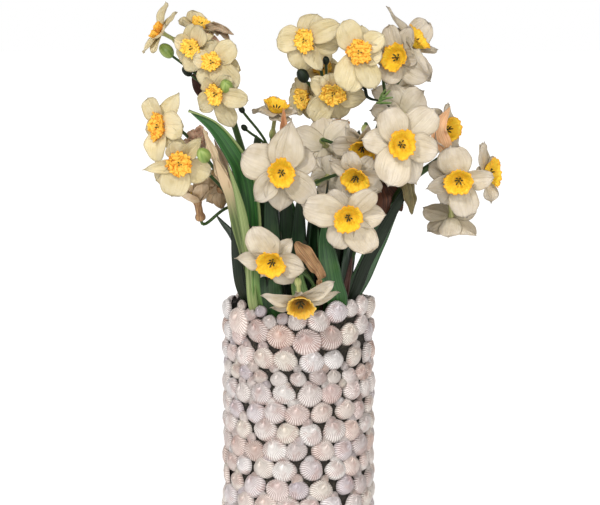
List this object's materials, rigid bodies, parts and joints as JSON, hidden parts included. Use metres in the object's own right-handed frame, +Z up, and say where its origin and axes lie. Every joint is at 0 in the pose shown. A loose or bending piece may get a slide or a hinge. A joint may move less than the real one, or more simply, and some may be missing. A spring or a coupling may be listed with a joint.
{
  "type": "potted narcissus",
  "caption": "Narcissus plants in flower, with strap leaves, branching stalks and bulbs in soil, in a tall round pot clad in small seashells.",
  "frame": {"origin": "centre of the pot's flat underside, where it rests", "axes": "+Z up along the pot's axis, -Y towards the side that the picture shows, +X to its right"},
  "size_m": [0.2747, 0.1623, 0.4269],
  "materials": {
    "pot_ceramic": "matte",
    "shell_cladding": "satin",
    "potting_soil": "matte",
    "bulb_skin": "matte",
    "flower_stalk": "satin",
    "leaf_blade": "satin",
    "dry_sheath": "matte",
    "frilled_petals": "satin",
    "smooth_petals": "satin",
    "frilled_cup": "satin",
    "smooth_cup": "satin",
    "flower_tube": "satin",
    "stamens": "matte"
  },
  "bodies": {
    "root": {"pot": "pot_ceramic", "shell_cladding": "shell_cladding", "potting_soil": "potting_soil", "bulb_front_left": "bulb_skin", "bulb_front_right": "bulb_skin", "bulb_back_left": "bulb_skin", "bulb_back_right": "bulb_skin", "scape_top_left": "flower_stalk", "scape_left": "flower_stalk", "scape_centre_left": "flower_stalk", "scape_top_centre": "flower_stalk", "scape_top_right": "flower_stalk", "scape_right_centre": "flower_stalk", "scape_right": "flower_stalk", "scape_low": "flower_stalk", "leaf_big_left": "leaf_blade", "leaf_front_left": "leaf_blade", "leaf_outer_left": "leaf_blade", "leaf_centre_left": "leaf_blade", "leaf_centre": "leaf_blade", "leaf_centre_right": "leaf_blade", "leaf_right": "leaf_blade", "leaf_back_right": "leaf_blade", "leaf_back_left": "leaf_blade", "sheath_peach": "dry_sheath", "sheath_orange": "dry_sheath", "sheath_tan": "dry_sheath", "sheath_dark_red": "dry_sheath", "sheath_red_brown": "dry_sheath", "sheath_curled": "dry_sheath", "flower_frilled_01": "frilled_petals", "flower_frilled_02": "frilled_petals", "flower_frilled_03": "frilled_petals", "flower_frilled_04": "frilled_petals", "flower_frilled_05": "frilled_petals", "flower_frilled_06": "frilled_petals", "flower_frilled_07": "frilled_petals", "flower_frilled_08": "frilled_petals", "flower_frilled_09": "frilled_petals", "flower_frilled_10": "frilled_petals", "flower_frilled_11": "frilled_petals", "flower_frilled_12": "frilled_petals", "flower_frilled_13": "frilled_petals", "flower_frilled_14": "frilled_petals", "flower_smooth_01": "smooth_petals", "flower_smooth_02": "smooth_petals", "flower_smooth_03": "smooth_petals", "flower_smooth_04": "smooth_petals", "flower_smooth_05": "smooth_petals", "flower_smooth_06": "smooth_petals", "flower_smooth_07": "smooth_petals", "flower_smooth_08": "smooth_petals", "flower_smooth_09": "smooth_petals", "flower_smooth_10": "smooth_petals", "flower_smooth_11": "smooth_petals", "flower_smooth_12": "smooth_petals", "flower_smooth_13": "smooth_petals", "flower_smooth_14": "smooth_petals", "flower_smooth_15": "smooth_petals", "flower_dried": "dry_sheath"}
  },
  "joints": []
}
